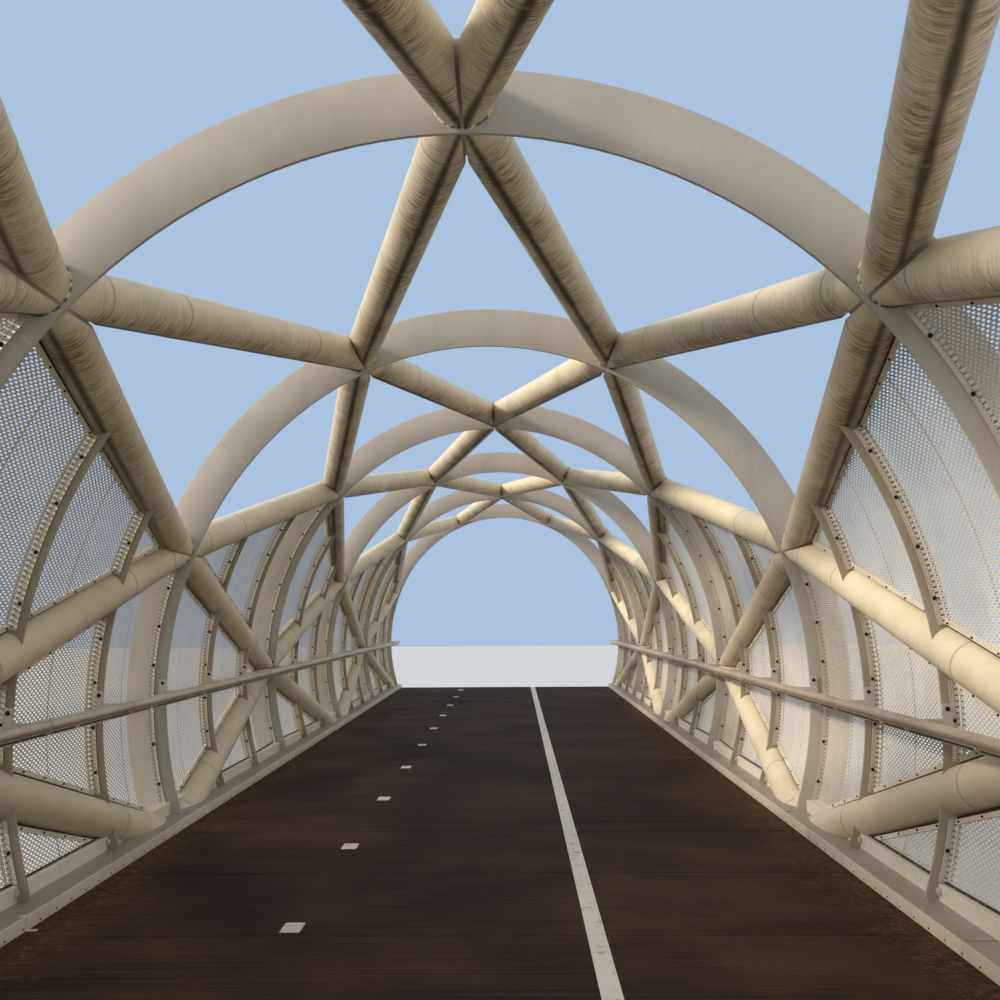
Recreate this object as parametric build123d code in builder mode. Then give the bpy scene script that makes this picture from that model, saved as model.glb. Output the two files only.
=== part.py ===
"""Six bays of a covered cycle bridge: an oval tube of crossing round bars held by flat ring
plates, with a deck, perforated side screens, curved ribs and handrails.

Millimetres. X runs across the bridge, Y along it and Z is up. The origin is the middle of the
plan at the level of the bearing undersides.
"""

import os
from math import acos, atan2, cos, degrees, hypot, pi, radians, sin, tan

from build123d import *

os.makedirs("parts", exist_ok=True)

# Driving dimensions
half_width = 2700.0
half_height = 2950.0
plate_margin = 28.5  # of the ring plates inside and outside the bars
plate_thick = 25.0
bay_length = 3880.0
bay_count = 6
nodes_per_ring = 8
oval_sides = 32

tube_dia = 273.0
tube_sides = 10
fin_thick = 20.0
fin_reach = 1.0  # of the length over which two bars run together
fin_tip = 0.45  # of the plate's height at the ring

ledge_above_node = 190.0  # of the lowest side nodes
deck_thick = 100.0
deck_edge_gap = 26.5
deck_joint = 6.0

kerb_bar_thick = 12.0
kerb_rise = 75.0
ledge_thick = 10.0
sill_height = 95.0
sill_thick = 10.0

screen_offset = 115.0
screen_thick = 5.0
screen_gap = 12.0  # to the bars
screen_joint = 1.0  # at the bends
screen_foot_gap = 3.0
screen_least = 60.0
rib_inner = 5.0
rib_thick = 14.0
rib_joint = 0.3
ribs_per_bay = 2
tip_angle = 1.95  # degrees from a bar's middle to the point of a rib
shoulder_angle = 2.9  # and to the corner behind the point
shoulder_offset = 60.0
flange_width = 30.0
flange_thick = 10.0

rail_dia = 71.0
rail_sides = 12
rail_drop = 15.0
rail_inset = 165.0
channel_width = 40.0
channel_depth = 26.0
bracket_thick = 10.0
bracket_height = 60.0

beam_depth = 300.0
beam_flange_width = 200.0
beam_flange_thick = 20.0
stringer_width = 150.0
stringer_depth = 200.0
stringer_places = (-0.82, -0.28, 0.28, 0.82)  # of the deck's half width

bearing_width = 520.0
bearing_length = 380.0
bearing_clear = 160.0
base_margin = 60.0
base_thick = 40.0

# Sizes that follow from them
node_step = 360.0 / nodes_per_ring
half_step = node_step / 2
plate_depth = tube_dia + 2 * plate_margin
tube_offset = plate_depth / 2
tube_radius = tube_dia / 2
centre_height = half_height + plate_depth + bearing_clear + base_thick
ring_y = [(k - bay_count / 2) * bay_length for k in range(bay_count + 1)]
half_length = bay_count * bay_length / 2 + plate_thick / 2
clear_bay = bay_length - plate_thick
facet_step = 360.0 / oval_sides


def oval_point(offset, angle):
    """X and Z on the oval that lies offset outside the clear opening, angle degrees from its top."""
    turn = radians(angle)
    across = (half_width + offset) * sin(turn)
    return across, centre_height + (half_height + offset) * cos(turn)


def oval_outline(offset):
    return [oval_point(offset, facet_step * i) for i in range(oval_sides)]


def across_plane(y):
    """Sketch plane across the bridge, with its normal towards the near end."""
    return Plane(origin=(0, y, 0), x_dir=(1, 0, 0), z_dir=(0, -1, 0))


def node_angles(ring):
    first = 0.0 if ring % 2 else half_step
    return [first + node_step * i for i in range(nodes_per_ring)]


def outward(angle, offset=tube_offset):
    """Unit normal of the oval at an angle, as X and Z."""
    x = sin(radians(angle)) / (half_width + offset)
    z = cos(radians(angle)) / (half_height + offset)
    size = hypot(x, z)
    return x / size, z / size


def node_point(ring, angle):
    x, z = oval_point(tube_offset, angle)
    return Vector(x, ring_y[ring], z)


def faceted_point(offset, angle):
    """Like oval_point, but on the straight facets between the corners of the outline."""
    low = facet_step * int(angle / facet_step)
    share = (angle - low) / facet_step
    x_low, z_low = oval_point(offset, low)
    x_high, z_high = oval_point(offset, low + facet_step)
    return x_low + share * (x_high - x_low), z_low + share * (z_high - z_low)


def angle_at(offset, z):
    """Angle from the top at which the faceted outline passes height z."""
    drop = (z - centre_height) / (half_height + offset)
    low = facet_step * int(degrees(acos(drop)) / facet_step)
    z_low = oval_point(offset, low)[1]
    z_high = oval_point(offset, low + facet_step)[1]
    return low + facet_step * (z_low - z) / (z_low - z_high)


def half_width_at(offset, z):
    return faceted_point(offset, angle_at(offset, z))[0]


ledge_level = oval_point(tube_offset, 90 + half_step)[1] + ledge_above_node
sill_level = ledge_level + sill_height
deck_level = ledge_level - kerb_rise
deck_half = half_width_at(0, deck_level - deck_thick) - deck_edge_gap


def save(piece, name):
    piece.part.label = name
    export_step(piece.part, f"parts/{name}.step")


# Ring plates
def ring_plate(y):
    with BuildPart() as plate:
        with BuildSketch(across_plane(y)):
            with BuildLine():
                Polyline(*oval_outline(plate_depth), close=True)
            make_face()
            with BuildLine():
                Polyline(*oval_outline(0), close=True)
            make_face(mode=Mode.SUBTRACT)
        extrude(amount=plate_thick / 2, both=True)
    return plate


# Round bars between the rings, trimmed at the ring plates and at the knife plates
def fin_plane(ring, angle, towards):
    """Face of the knife plate at a node, with its normal along the ring on the given side."""
    nx, nz = outward(angle)
    along = Vector(nz, 0, -nx) * towards
    return Plane(origin=node_point(ring, angle) + along * (fin_thick / 2), z_dir=along)


def bay_tubes(bay):
    near = ring_y[bay] + plate_thick / 2
    far = ring_y[bay + 1] - plate_thick / 2
    tubes = []
    for angle in node_angles(bay):
        for side in (-1, 1):
            end_angle = angle + side * half_step
            start = node_point(bay, angle)
            finish = node_point(bay + 1, end_angle)
            way = (finish - start).normalized()
            length = (finish - start).length
            nx, nz = outward(angle + side * half_step / 2)
            profile_plane = Plane(origin=start - way * tube_dia, x_dir=(nx, 0, nz), z_dir=way)
            with BuildPart() as tube:
                with BuildSketch(profile_plane):
                    RegularPolygon(radius=tube_radius, side_count=tube_sides, major_radius=True)
                extrude(amount=length + 2 * tube_dia)
                split(bisect_by=Plane(origin=(0, near, 0), z_dir=(0, 1, 0)), keep=Keep.TOP)
                split(bisect_by=Plane(origin=(0, far, 0), z_dir=(0, -1, 0)), keep=Keep.TOP)
                split(bisect_by=fin_plane(bay, angle, side), keep=Keep.TOP)
                split(bisect_by=fin_plane(bay + 1, end_angle, -side), keep=Keep.TOP)
            tubes.append(tube.part)
    return tubes


# Knife plates in the crotch of each pair of bars
def bay_fins(bay):
    spread = (node_point(bay, node_angles(bay)[0]) - node_point(bay + 1, node_angles(bay)[0] + half_step))
    slope = atan2(hypot(spread.X, spread.Z), abs(spread.Y))
    reach = tube_radius / sin(slope)
    fins = []
    for ring, towards in ((bay, 1), (bay + 1, -1)):
        face = ring_y[ring] + towards * plate_thick / 2
        for angle in node_angles(ring):
            nx, nz = outward(angle)
            origin = node_point(ring, angle)
            origin.Y = face
            plane = Plane(origin=origin, x_dir=(0, towards, 0), z_dir=(nz * towards, 0, -nx * towards))
            with BuildPart() as fin:
                with BuildSketch(plane):
                    with BuildLine():
                        Polyline(
                            (0, -tube_radius),
                            (fin_reach * reach, -fin_tip * tube_radius),
                            (fin_reach * reach, fin_tip * tube_radius),
                            (0, tube_radius),
                            close=True,
                        )
                    make_face()
                extrude(amount=fin_thick / 2, both=True)
            fins.append(fin.part)
    return fins


# Perforated screens as flat sheets between the bars
def clip(outline, a, b, c):
    """Part of an outline of (y, angle) points where a * y + b * angle <= c."""
    kept = []
    for here, there in zip(outline, outline[1:] + outline[:1]):
        over_here = a * here[0] + b * here[1] - c
        over_there = a * there[0] + b * there[1] - c
        if over_here <= 0:
            kept.append(here)
        if over_here * over_there < 0:
            share = over_here / (over_here - over_there)
            kept.append((here[0] + share * (there[0] - here[0]), here[1] + share * (there[1] - here[1])))
    return kept


def bar_angle_line(bay, odd_angle, even_angle):
    """Angle of a bar at the bay's near ring and its change for each millimetre along the bridge."""
    near = odd_angle if bay % 2 else even_angle
    far = even_angle if bay % 2 else odd_angle
    return near, (far - near) / bay_length


kerb_angle = angle_at(screen_offset, sill_level + screen_foot_gap)
bar_lines = ((45.0, 67.5), (90.0, 67.5), (90.0, 112.5))
bar_slope = atan2(radians(half_step) * half_width, bay_length)
bar_cover = degrees((tube_radius + screen_gap) / cos(bar_slope) / (half_width + tube_offset))


def screen_zone(bay, zone):
    """Outline in (y, angle) of the sheet between two bars, or between the lowest bar and the sill."""
    start = ring_y[bay] + plate_thick / 2
    finish = ring_y[bay + 1] - plate_thick / 2
    outline = [(start, 0.0), (finish, 0.0), (finish, kerb_angle), (start, kerb_angle)]
    above, rate_above = bar_angle_line(bay, *bar_lines[zone])
    limit = -(above + bar_cover) + rate_above * ring_y[bay]
    outline = clip(outline, rate_above, -1.0, limit)
    if zone + 1 < len(bar_lines):
        below, rate_below = bar_angle_line(bay, *bar_lines[zone + 1])
        outline = clip(outline, -rate_below, 1.0, below - bar_cover - rate_below * ring_y[bay])
    return outline


def screen_sheets(bay, side):
    sheets = []
    steps = int(kerb_angle / facet_step) + 1
    for zone in range(len(bar_lines)):
        for i in range(steps):
            low = i * facet_step
            high = low + facet_step
            piece = clip(clip(screen_zone(bay, zone), 0.0, -1.0, -low), 0.0, 1.0, high)
            if len(piece) < 3 or max(y for y, a in piece) - min(y for y, a in piece) < screen_least:
                continue
            x_low, z_low = oval_point(screen_offset, low)
            x_high, z_high = oval_point(screen_offset, high)
            width = hypot(x_high - x_low, z_high - z_low)
            along = Vector(side * (x_high - x_low), 0, z_high - z_low).normalized()
            out = Vector(-along.Z * side, 0, along.X * side)
            plane = Plane(origin=(side * x_low, 0, z_low), x_dir=along, z_dir=out)
            spots = []
            for y, angle in piece:
                across = (angle - low) / facet_step * width
                local = plane.to_local_coords(Vector(0, y, 0) + plane.origin + along * across)
                spot = (min(max(local.X, screen_joint), width - screen_joint), local.Y)
                if all(hypot(spot[0] - u, spot[1] - v) > screen_joint for u, v in spots):
                    spots.append(spot)
            if len(spots) < 3:
                continue
            with BuildPart() as sheet:
                with BuildSketch(plane):
                    with BuildLine():
                        Polyline(*spots, close=True)
                    make_face()
                extrude(amount=screen_thick)
            sheets.append(sheet.part)
    return sheets


# Ribs that stiffen the screens, cut off at the bars
web_edge = screen_offset - rib_joint
flange_inner = screen_offset + screen_thick + rib_joint
flange_outer = flange_inner + flange_thick
flange_cover = bar_cover + degrees(flange_width / 2 * tan(bar_slope) / half_width)


def edge(offset, first, last):
    corners = [i * facet_step for i in range(oval_sides) if first < i * facet_step < last]
    return [faceted_point(offset, a) for a in [first] + corners + [last]]


def rib_bar(y, side, outline, width):
    with BuildPart() as bar:
        with BuildSketch(across_plane(y)):
            with BuildLine():
                Polyline(*[(side * x, z) for x, z in outline], close=True)
            make_face()
        extrude(amount=width / 2, both=True)
    return bar.part


def bay_ribs(bay):
    """Webs inside the sheets, pointed where they meet the bars, and strips that cover the joints behind."""
    ribs = []
    for r in range(ribs_per_bay):
        share = (r + 1) / (ribs_per_bay + 1)
        y = ring_y[bay] + share * bay_length
        crossings = []
        for line in bar_lines:
            near, rate = bar_angle_line(bay, *line)
            crossings.append(near + rate * share * bay_length)
        for above, below in zip(crossings, crossings[1:] + [None]):
            edge_start = above + bar_cover
            flange_start = above + flange_cover
            high_shoulder = [faceted_point(shoulder_offset, above + shoulder_angle)]
            if below is None:
                point_end = angle_at(rib_inner, ledge_level)
                low_shoulder = []
                edge_end = angle_at(web_edge, ledge_level)
                flange_end = angle_at(flange_outer, sill_level + screen_foot_gap)
            else:
                point_end = below - tip_angle
                low_shoulder = [faceted_point(shoulder_offset, below - shoulder_angle)]
                edge_end = below - bar_cover
                flange_end = below - flange_cover
            for side in (-1, 1):
                if edge_end > edge_start:
                    front = edge(rib_inner, above + tip_angle, point_end)
                    back = edge(web_edge, edge_start, edge_end)[::-1]
                    outline = front + low_shoulder + back + high_shoulder
                    ribs.append(rib_bar(y, side, outline, rib_thick))
                if flange_end > flange_start:
                    front = edge(flange_inner, flange_start, flange_end)
                    back = edge(flange_outer, flange_start, flange_end)[::-1]
                    ribs.append(rib_bar(y, side, front + back, flange_width))
    return ribs


# Ledges behind the kerb bars and sills below the screens, notched round the bars
sill_inner = faceted_point(screen_offset, kerb_angle)[0]
sill_outer = sill_inner + sill_thick
ledge_inner = deck_half + kerb_bar_thick


def bay_strips(bay, inner, outer, z_low, z_high, tubes):
    """A flat strip along each side of a bay, from inner to outer across and z_low to z_high up."""
    with BuildPart() as strips:
        for side in (-1, 1):
            middle_y = (ring_y[bay] + ring_y[bay + 1]) / 2
            with Locations((side * (inner + outer) / 2, middle_y, (z_low + z_high) / 2)):
                Box(outer - inner, clear_bay, z_high - z_low)
        add(tubes, mode=Mode.SUBTRACT)
    return strips.part


# Everything that repeats along the bridge
for k in range(bay_count + 1):
    save(ring_plate(ring_y[k]), f"ring_plate_{k + 1}")

all_ledges = []
all_sills = []
for kind in range(2):
    tubes = bay_tubes(kind)
    side_tubes = [t for t in tubes if abs(t.center().X) > half_width / 2]
    pieces = {
        "tubes": tubes,
        "knife_plates": bay_fins(kind),
        "screens": screen_sheets(kind, -1) + screen_sheets(kind, 1),
        "ribs": bay_ribs(kind),
    }
    edge_tubes = [t for t in side_tubes if abs(t.center().Z - ledge_level) < half_height / 2]
    ledge = bay_strips(kind, ledge_inner, sill_outer, ledge_level - ledge_thick, ledge_level, edge_tubes)
    sill = bay_strips(kind, sill_inner, sill_outer, ledge_level, sill_level, edge_tubes)
    for k in range(kind, bay_count, 2):
        place = Pos(0, (k - kind) * bay_length, 0)
        for name, solids in pieces.items():
            with BuildPart() as group:
                add([place * solid for solid in solids])
            save(group, f"{name}_bay_{k + 1}")
        all_ledges.append(place * ledge)
        all_sills.append(place * sill)

for name, solids in (("kerb_ledges", all_ledges), ("screen_sills", all_sills)):
    with BuildPart() as group:
        add(solids)
    save(group, name)

# Deck panels, one to a bay
with BuildPart() as deck:
    for k in range(bay_count):
        with Locations((0, (ring_y[k] + ring_y[k + 1]) / 2, deck_level)):
            Box(
                2 * deck_half,
                bay_length - deck_joint,
                deck_thick,
                align=(Align.CENTER, Align.CENTER, Align.MAX),
            )
save(deck, "deck_panels")

# Kerb bars along both edges of the deck
with BuildPart() as kerb_bars:
    for side in (-1, 1):
        with Locations((side * (deck_half + kerb_bar_thick / 2), 0, ledge_level)):
            Box(
                kerb_bar_thick,
                2 * half_length,
                kerb_rise + deck_thick,
                align=(Align.CENTER, Align.CENTER, Align.MAX),
            )
save(kerb_bars, "kerb_bars")

# Handrails with a channel below
rail_x = half_width - rail_inset
rail_z = centre_height - rail_drop
rail_flat = rail_dia / 2 * cos(pi / rail_sides)
with BuildPart() as rails:
    for side in (-1, 1):
        with BuildSketch(across_plane(0)):
            with Locations((side * rail_x, rail_z)):
                RegularPolygon(radius=rail_dia / 2, side_count=rail_sides, rotation=180 / rail_sides)
        extrude(amount=half_length, both=True)
save(rails, "handrails")

with BuildPart() as channels:
    for side in (-1, 1):
        with Locations((side * rail_x, 0, rail_z - rail_flat)):
            Box(
                channel_width,
                2 * half_length,
                channel_depth,
                align=(Align.CENTER, Align.CENTER, Align.MAX),
            )
save(channels, "rail_channels")

# Brackets from each ring plate and rib to the handrail
bracket_y = []
for k in range(bay_count):
    for r in range(ribs_per_bay + 1):
        bracket_y.append(ring_y[k] + r * bay_length / (ribs_per_bay + 1))
bracket_y.append(ring_y[bay_count])
with BuildPart() as brackets:
    for index, y in enumerate(bracket_y):
        on_ring = index % (ribs_per_bay + 1) == 0
        inner_edge = oval_outline(0 if on_ring else rib_inner)
        start = rail_x + rail_flat
        with BuildSketch(across_plane(y)):
            for side in (-1, 1):
                with Locations((side * (start + half_width) / 2, rail_z)):
                    Rectangle(half_width - start, bracket_height)
            with BuildLine():
                Polyline(*inner_edge, close=True)
            make_face(mode=Mode.INTERSECT)
        extrude(amount=bracket_thick / 2, both=True)
save(brackets, "rail_brackets")

# Cross beams under the deck, in the plane of each ring: upright webs on flat flanges
beam_top = deck_level - deck_thick
beam_bottom = beam_top - beam_depth
beam_parts = (
    ("beam_webs", beam_bottom, beam_top, plate_thick),
    ("beam_flanges", beam_bottom - beam_flange_thick, beam_bottom, beam_flange_width),
)
for name, z_low, z_high, width in beam_parts:
    with BuildPart() as beams:
        for y in ring_y:
            with BuildSketch(across_plane(y)):
                with BuildLine():
                    Polyline(*oval_outline(0), close=True)
                make_face()
                with Locations((0, (z_low + z_high) / 2)):
                    Rectangle(2 * half_width, z_high - z_low, mode=Mode.INTERSECT)
            extrude(amount=width / 2, both=True)
    save(beams, name)

# Stringers between the cross beams
stringer_x = [deck_half * place for place in stringer_places]
with BuildPart() as stringers:
    for k in range(bay_count):
        for x in stringer_x:
            with Locations((x, (ring_y[k] + ring_y[k + 1]) / 2, beam_top)):
                Box(
                    stringer_width,
                    clear_bay,
                    stringer_depth,
                    align=(Align.CENTER, Align.CENTER, Align.MAX),
                )
save(stringers, "deck_stringers")

# Bearings under the two lowest nodes of both end rings
foot_x = oval_point(tube_offset, 180 - half_step)[0]
end_y = half_length - bearing_length / 2
with BuildPart() as saddles:
    for x in (-foot_x, foot_x):
        for y in (-end_y, end_y):
            with Locations((x, y, base_thick)):
                Box(
                    bearing_width,
                    bearing_length,
                    2 * bearing_clear,
                    align=(Align.CENTER, Align.CENTER, Align.MIN),
                )
    with BuildSketch(across_plane(0)):
        with BuildLine():
            Polyline(*oval_outline(plate_depth), close=True)
        make_face()
    extrude(amount=half_length, both=True, mode=Mode.SUBTRACT)
save(saddles, "bearing_saddles")

with BuildPart() as bases:
    for x in (-foot_x, foot_x):
        for y in (-end_y, end_y):
            with Locations((x, y, 0)):
                Box(
                    bearing_width + 2 * base_margin,
                    bearing_length,
                    base_thick,
                    align=(Align.CENTER, Align.CENTER, Align.MIN),
                )
save(bases, "bearing_plates")
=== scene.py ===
from itertools import product
from math import atan2, ceil, cos, degrees, pi, radians, sin, sqrt

import bmesh
import bpy
from mathutils import Matrix, Vector


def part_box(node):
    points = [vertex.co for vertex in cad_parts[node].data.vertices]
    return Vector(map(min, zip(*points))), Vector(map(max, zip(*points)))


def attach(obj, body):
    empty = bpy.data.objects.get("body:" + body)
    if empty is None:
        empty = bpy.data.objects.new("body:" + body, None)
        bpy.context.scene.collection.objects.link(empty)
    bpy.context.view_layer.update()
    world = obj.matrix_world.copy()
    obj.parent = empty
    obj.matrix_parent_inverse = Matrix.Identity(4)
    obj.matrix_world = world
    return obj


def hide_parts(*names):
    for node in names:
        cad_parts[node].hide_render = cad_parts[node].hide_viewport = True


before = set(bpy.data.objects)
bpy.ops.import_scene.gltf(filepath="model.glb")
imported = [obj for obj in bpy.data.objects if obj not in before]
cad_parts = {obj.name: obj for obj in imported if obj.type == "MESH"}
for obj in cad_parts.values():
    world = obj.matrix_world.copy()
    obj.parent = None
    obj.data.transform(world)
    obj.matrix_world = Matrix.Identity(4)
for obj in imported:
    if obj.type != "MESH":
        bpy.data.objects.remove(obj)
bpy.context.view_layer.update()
print("frame loaded")

# X runs across the bridge, Y along it and Z is up. Everything is in metres.
bridge = {
    "halfWidth": 2.700,  # clear opening inside the ring plates
    "halfHeight": 2.950,
    "plateDepth": 0.330,
    "plateThick": 0.025,
    "bayLength": 3.880,
    "bays": 6,
    "ribsPerBay": 2,
    "ribThick": 0.014,
    "barRadius": 0.1365,
    "hoopRadius": 2.865,  # turns degrees round the oval into metres on a flat drawing
    "sag": 0.055,  # straight bars and the sheets beside them come inward by this between two rings
    "sharpAngle": 40,  # faces that meet at more degrees than this keep a sharp edge
}
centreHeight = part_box("ring_plate_1")[1].z - bridge["halfHeight"] - bridge["plateDepth"]
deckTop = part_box("deck_panels")[1].z
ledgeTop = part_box("kerb_ledges")[1].z
sillOuter, _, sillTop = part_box("screen_sills")[1]
nodeOffset = bridge["plateDepth"] / 2
ringY = [(k - bridge["bays"] / 2) * bridge["bayLength"] for k in range(bridge["bays"] + 1)]
endY = ringY[-1] + bridge["plateThick"] / 2
thirds = bridge["ribsPerBay"] + 1
ribStep = bridge["bayLength"] / thirds


def ovalPoint(offset, angle, y=0.0):  # angle in degrees from the top, towards +X
    turn = radians(angle)
    return Vector(((bridge["halfWidth"] + offset) * sin(turn), y,
                   centreHeight + (bridge["halfHeight"] + offset) * cos(turn)))


def hoopAngle(hoop):
    return degrees(hoop / bridge["hoopRadius"])


def hoopAt(angle):
    return radians(angle) * bridge["hoopRadius"]


def angleAtHeight(offset, z):  # on the +X side
    turn = (z - centreHeight) / (bridge["halfHeight"] + offset)
    return degrees(atan2(sqrt(1 - turn * turn), turn))


def sagAt(y):  # how far the bars' plane has come inward at a place along the bridge
    share = (y - ringY[0]) / bridge["bayLength"] % 1
    return bridge["sag"] * 4 * share * (1 - share)


# Small steps that many pieces share
def madeVerts(result):
    return [part for part in result["geom"] if isinstance(part, bmesh.types.BMVert)]


def madeEdges(result):
    return [part for part in result["geom"] if isinstance(part, bmesh.types.BMEdge)]


def moveBy(bm, vec):
    bmesh.ops.translate(bm, verts=bm.verts, vec=vec)


def scaleBy(bm, vec):
    bmesh.ops.scale(bm, verts=bm.verts, vec=vec)


def turnBy(bm, matrix):
    bmesh.ops.rotate(bm, verts=bm.verts, matrix=matrix)


def flatGrid(low, high, z, xParts, yParts):
    bm = bmesh.new()
    bmesh.ops.create_grid(bm, x_segments=xParts, y_segments=yParts, size=0.5)
    scaleBy(bm, (high[0] - low[0], high[1] - low[1], 1))
    moveBy(bm, ((low[0] + high[0]) / 2, (low[1] + high[1]) / 2, z))
    return bm


def thicken(bm, vec):  # draws a flat sheet out into a slab
    drawn = bmesh.ops.extrude_face_region(bm, geom=bm.faces[:])
    bmesh.ops.translate(bm, verts=madeVerts(drawn), vec=vec)
    bmesh.ops.recalc_face_normals(bm, faces=bm.faces)


def drawFaces(bm, faces, vec):  # moves faces out or in, with walls behind them
    drawn = bmesh.ops.extrude_face_region(bm, geom=faces)
    bmesh.ops.translate(bm, verts=madeVerts(drawn), vec=vec)
    bmesh.ops.delete(bm, geom=faces, context="FACES")


def sharpEdges(bm):
    return [e for e in bm.edges if e.calc_face_angle(0) > 1.0]


def edgesAlong(edges, axis):
    return [e for e in edges if abs(e.verts[0].co[axis] - e.verts[1].co[axis]) > 1e-4]


def roundEdges(bm, edges, radius, segments=1):
    bmesh.ops.bevel(bm, geom=edges, offset=radius, affect="EDGES", segments=segments, profile=0.5,
                    material=-1)


def fillEnds(bm):
    bmesh.ops.holes_fill(bm, edges=[e for e in bm.edges if e.is_boundary], sides=0)


def faceOutward(bm):  # one closed shape
    bmesh.ops.recalc_face_normals(bm, faces=bm.faces)
    if bm.calc_volume(signed=True) < 0:
        bmesh.ops.reverse_faces(bm, faces=bm.faces)


def everyPart(bm):
    return bm.verts[:] + bm.edges[:] + bm.faces[:]


def splitAcross(bm, point, normal):
    bmesh.ops.bisect_plane(bm, geom=everyPart(bm), dist=1e-5, plane_co=point, plane_no=normal)


def cutAway(bm, point, normal, close=False):
    cut = bmesh.ops.bisect_plane(bm, geom=everyPart(bm), dist=1e-5, plane_co=point, plane_no=normal,
                                 clear_outer=True)
    if close:
        edges = [e for e in cut["geom_cut"] if isinstance(e, bmesh.types.BMEdge) and e.is_boundary]
        bmesh.ops.holes_fill(bm, edges=edges, sides=0)


def box(low, high, rounding=0.0, segments=1):
    bm = bmesh.new()
    bmesh.ops.create_cube(bm, size=1.0)
    scaleBy(bm, [b - a for a, b in zip(low, high)])
    moveBy(bm, [(a + b) / 2 for a, b in zip(low, high)])
    if rounding:
        roundEdges(bm, bm.edges[:], rounding, segments)
    return bm


def tube(stations, sides):  # stations are heights and radii up the Z axis
    bm = bmesh.new()
    height, radius = stations[0]
    bmesh.ops.create_circle(bm, segments=sides, radius=radius)
    moveBy(bm, (0, 0, height))
    loop = bm.edges[:]
    for nextHeight, nextRadius in stations[1:]:
        grown = bmesh.ops.extrude_edge_only(bm, edges=loop)
        loop, verts = madeEdges(grown), madeVerts(grown)
        bmesh.ops.translate(bm, verts=verts, vec=(0, 0, nextHeight - height))
        bmesh.ops.scale(bm, verts=verts, vec=(nextRadius / radius, nextRadius / radius, 1.0))
        height, radius = nextHeight, nextRadius
    return bm


def mergeInto(target, source):  # moves one bmesh's geometry into another
    mesh = bpy.data.meshes.new("part")
    source.to_mesh(mesh)
    source.free()
    target.from_mesh(mesh)
    bpy.data.meshes.remove(mesh)


def mergeOnSide(target, bm, side):  # a piece made at +X, kept there or mirrored to -X
    if side < 0:
        scaleBy(bm, (-1, 1, 1))
        bmesh.ops.reverse_faces(bm, faces=bm.faces)
    mergeInto(target, bm)


def mergeBoxPair(target, *shape):
    for side in (-1, 1):
        mergeOnSide(target, box(*shape), side)


def bendInto(target, bm, side):
    # flat drawing to place: X along the bridge, Y round the hoop, Z outward from the clear oval
    for vert in bm.verts:
        y, hoop, offset = vert.co
        vert.co = ovalPoint(offset, hoopAngle(hoop), y)
    bmesh.ops.reverse_faces(bm, faces=bm.faces)  # the drawing is bent to its mirror image
    mergeOnSide(target, bm, side)


def finishPiece(name, bm, materials, slot, *replaced):
    for face in bm.faces:
        face.smooth = True
    mesh = bpy.data.meshes.new(name)
    bm.to_mesh(mesh)
    bm.free()
    piece = bpy.data.objects.new(name, mesh)
    bpy.context.scene.collection.objects.link(piece)
    for material in materials:
        mesh.materials.append(material)
    mesh.set_sharp_from_angle(angle=radians(bridge["sharpAngle"]))
    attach(piece, "root")
    if replaced:
        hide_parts(*replaced)
    return piece


# Materials
def toLinear(hexColour):
    parts = [int(hexColour[i:i + 2], 16) / 255 for i in (1, 3, 5)]
    return tuple(p / 12.92 if p <= 0.04045 else ((p + 0.055) / 1.055) ** 2.4 for p in parts) + (1.0,)


def addNode(tree, kind, inputs=None, **settings):
    node = tree.nodes.new("ShaderNode" + kind)
    for key, value in settings.items():
        setattr(node, key, value)
    for key, value in (inputs or {}).items():
        if isinstance(value, bpy.types.NodeSocket):
            tree.links.new(value, node.inputs[key])
        else:
            node.inputs[key].default_value = value
    return node


def newMaterial(name):
    material = bpy.data.materials.new(name)
    material.use_nodes = True
    material.node_tree.nodes.clear()
    return material, material.node_tree


def finishMaterial(material, shader):
    addNode(material.node_tree, "OutputMaterial", {"Surface": shader})
    return material


def objectPlace(tree):
    return addNode(tree, "TexCoord").outputs["Object"]


def noise(tree, vector, scale, detail, roughness=0.5, distortion=0.0):
    return addNode(tree, "TexNoise", {"Vector": vector, "Scale": scale, "Detail": detail,
                                      "Roughness": roughness, "Distortion": distortion}).outputs["Fac"]


def stretched(tree, vector, scale):
    return addNode(tree, "Mapping", {"Vector": vector, "Scale": scale}).outputs["Vector"]


def maths(tree, operation, *values):
    return addNode(tree, "Math", dict(enumerate(values)), operation=operation).outputs[0]


def vectorMaths(tree, operation, *values):
    return addNode(tree, "VectorMath", dict(enumerate(values)), operation=operation).outputs["Vector"]


def mapRange(tree, value, low, high, toLow=0.0, toHigh=1.0, kind="LINEAR"):
    node = addNode(tree, "MapRange", {"Value": value, "From Min": low, "From Max": high,
                                      "To Min": toLow, "To Max": toHigh}, interpolation_type=kind)
    return node.outputs["Result"]


def ramp(tree, value, *stops):  # each stop has a place and a hex colour or a grey share
    node = addNode(tree, "ValToRGB", {"Fac": value})
    for element, (place, colour) in zip(node.color_ramp.elements, stops):
        element.position = place
        element.color = toLinear(colour) if isinstance(colour, str) else (colour, colour, colour, 1.0)
    return node.outputs["Color"]


def mixColour(tree, share, under, over):  # over is a hex colour
    return addNode(tree, "Mix", {0: share, 6: under, 7: toLinear(over)}, data_type="RGBA").outputs[2]


def surface(tree, colour, roughness, height, strength, distance, more=None):
    bump = addNode(tree, "Bump", {"Height": height, "Strength": strength, "Distance": distance})
    shader = addNode(tree, "BsdfPrincipled", {
        "Base Color": colour, "Roughness": roughness, "Normal": bump.outputs["Normal"], **(more or {})})
    return shader.outputs["BSDF"]


# Weld beads and ends of the bars, which the bars' paint follows too
bar = {
    "sides": 40,
    "beadHeight": 0.0016,
    "beadWidth": 0.011,
    "beadRun": 0.012,  # of plain bar beside a bead, so that the long faces stay flat
    "beads": (0.38, 1.12),  # from either node
    "knifeThick": 0.020,
    "weldLeg": 0.009,
}


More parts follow.
